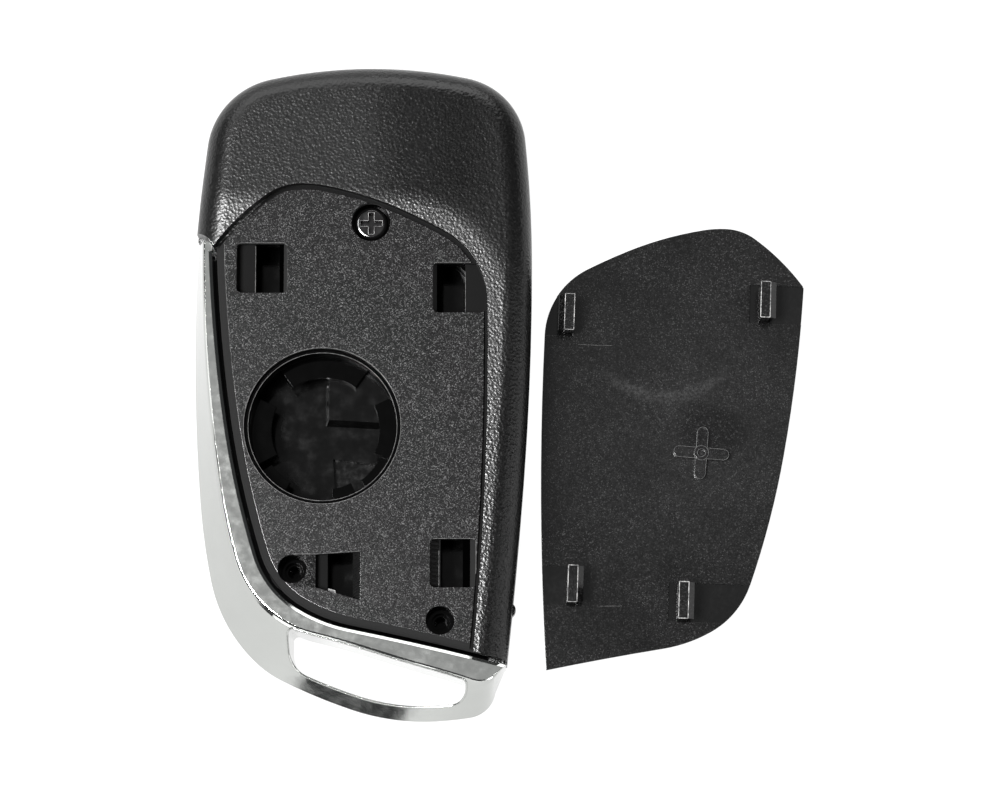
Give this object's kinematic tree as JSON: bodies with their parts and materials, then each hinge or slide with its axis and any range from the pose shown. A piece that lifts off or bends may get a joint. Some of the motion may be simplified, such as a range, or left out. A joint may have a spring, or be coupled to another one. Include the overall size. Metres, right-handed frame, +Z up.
{
  "type": "flip key remote shell",
  "caption": "Flip key remote shell lying back up: grained plastic casing, plated side trim with a key ring loop, folded blade on a sprung hub, and the battery cover laid beside it.",
  "frame": {"origin": "on the surface the shell lies on, straight below the axis of the battery opening", "axes": "+X across the shell towards the side the blade folds along, +Y along the shell towards the hub's end, +Z up, out of the battery opening"},
  "size_m": [0.0843, 0.0898, 0.015],
  "materials": {
    "casing": "black, fine orange-peel grain",
    "trim": "bright satin plating",
    "cover": "black, fine grain inside",
    "screw": "black oxide",
    "tray": "black",
    "hub": "die-cast zinc, satin",
    "blade": "nickel-plated steel",
    "button": "polished plating",
    "key": "black, soft touch",
    "pad": "grey silicone"
  },
  "bodies": {
    "shell": {"front_casing": "casing", "back_casing": "casing", "chrome_trim": "trim", "battery_cover": "cover", "case_screw": "screw", "board_tray": "tray", "button_pad": "pad"},
    "hub": {"blade_hub": "hub", "key_blade": "blade", "blade_pin": "blade", "flip_spring": "blade"},
    "release": {"release_button": "button", "lock_core": "hub"},
    "lock_key": {"lock_button": "key"},
    "unlock_key": {"unlock_button": "key"},
    "boot_key": {"boot_button": "key"}
  },
  "joints": [
    {"name": "blade_fold", "type": "hinge", "parent": "shell", "child": "hub", "pos_m": [0.0164, 0.0384, 0.0066], "axis": [0, 0, 1], "range_deg": [0, 180]},
    {"name": "release_press", "type": "slide", "parent": "hub", "child": "release", "axis": [0, 0, 1], "range_m": [0, 0.0024], "stiffness_N_per_m": 400, "springref_m": -0.001, "deforming": ["flip_spring"]},
    {"name": "lock_press", "type": "slide", "parent": "shell", "child": "lock_key", "axis": [0, 0, 1], "range_m": [0, 0.0003], "stiffness_N_per_m": 500, "springref_m": -0.0005},
    {"name": "unlock_press", "type": "slide", "parent": "shell", "child": "unlock_key", "axis": [0, 0, 1], "range_m": [0, 0.0003], "stiffness_N_per_m": 500, "springref_m": -0.0005},
    {"name": "boot_press", "type": "slide", "parent": "shell", "child": "boot_key", "axis": [0, 0, 1], "range_m": [0, 0.0003], "stiffness_N_per_m": 500, "springref_m": -0.0005}
  ]
}
